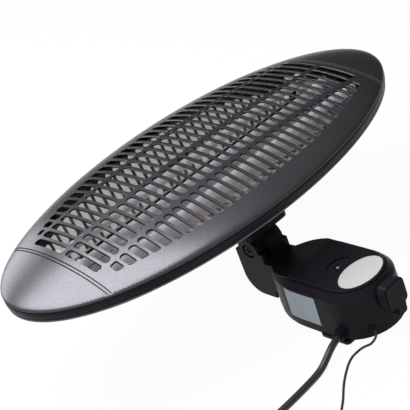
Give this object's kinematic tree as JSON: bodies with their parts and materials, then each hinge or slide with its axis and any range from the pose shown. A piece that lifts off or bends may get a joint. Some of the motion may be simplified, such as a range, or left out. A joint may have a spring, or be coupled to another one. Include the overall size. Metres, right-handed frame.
{
  "type": "wall quartz heater",
  "caption": "Oval radiant heater with quartz tubes behind a slotted domed front, tilting on a hinged arm over a small wall-mounted control box with a selector knob and a pull cord.",
  "frame": {"origin": "centre of the wall plate's back face, on the wall", "axes": "+X along the head, +Y up the wall from the control box to the arm, +Z out of the wall"},
  "size_m": [0.498, 0.4314, 0.1562],
  "materials": {
    "head_paint": "silver-grey metallic paint with a fine sparkle, satin",
    "rear_paint": "dark blue-grey paint, satin",
    "reflector_sheet": "bright rolled sheet, slightly warm",
    "holder_steel": "plain blue-grey sheet steel",
    "frosted_quartz": "frosted, milky quartz",
    "heating_wire": "oxidised resistance wire",
    "ceramic": "unglazed white ceramic",
    "black_plastic": "near-black moulded plastic, satin",
    "badge_silver": "blank light grey badge, satin",
    "window_black": "dark glossy plastic",
    "black_steel": "black painted steel",
    "zinc_steel": "zinc-plated steel",
    "switch_plastic": "ivory switch plastic",
    "cord_rubber": "black rubber sheath, satin",
    "cord_braid": "dark grey cord",
    "tie_nylon": "black nylon",
    "plug_plastic": "black moulded plastic",
    "plug_metal": "nickel-plated brass"
  },
  "bodies": {
    "wall_box": {"wall_plate": "black_steel", "base_plate": "black_plastic", "housing": "black_plastic", "lid": "black_plastic", "badge_plate": "badge_silver", "indicator_window": "window_black", "indicator_lamp": "window_black", "pivot_bolt": "black_steel", "pivot_nut": "zinc_steel", "rotary_switch": "switch_plastic", "pull_switch": "switch_plastic", "pull_bush": "black_plastic", "terminal_block": "switch_plastic", "cable_gland": "cord_rubber", "mains_cable": "cord_rubber", "cable_coil": "cord_rubber", "cable_tie": "tie_nylon", "plug": "plug_plastic", "plug_pins": "plug_metal", "base_screws": "zinc_steel", "plate_screws": "zinc_steel"},
    "head": {"front_cover": "head_paint", "rear_cover": "rear_paint", "reflector": "reflector_sheet", "tube_holder_left": "holder_steel", "tube_holder_right": "holder_steel", "quartz_tube_1": "frosted_quartz", "quartz_tube_2": "frosted_quartz", "quartz_tube_3": "frosted_quartz", "heating_coil_1": "heating_wire", "heating_coil_2": "heating_wire", "heating_coil_3": "heating_wire", "ceramic_caps_left": "ceramic", "ceramic_caps_right": "ceramic", "head_terminal": "switch_plastic", "head_bracket": "black_plastic", "cover_screws": "zinc_steel", "reflector_screws": "zinc_steel", "bracket_screws": "zinc_steel"},
    "knob": {"selector_knob": "black_plastic", "knob_spindle": "zinc_steel"},
    "pull_cord_set": {"pull_cord": "cord_braid", "pull_cord_coil": "cord_braid", "pull_cord_tie": "tie_nylon", "pull_knob": "black_plastic", "pull_anchor": "switch_plastic"}
  },
  "joints": [
    {"name": "head_tilt", "type": "hinge", "parent": "wall_box", "child": "head", "pos_m": [0, 0.112, 0.0527], "axis": [1, 0, 0], "range_deg": [-18, 32]},
    {"name": "knob_turn", "type": "hinge", "parent": "wall_box", "child": "knob", "pos_m": [0, -0.045, 0.037], "axis": [0, -1, 0], "range_deg": [0, 120]},
    {"name": "pull_slide", "type": "slide", "parent": "wall_box", "child": "pull_cord_set", "axis": [-0.5592, -0.829, 0], "range_m": [0, 0.008], "stiffness_N_per_m": 300}
  ]
}
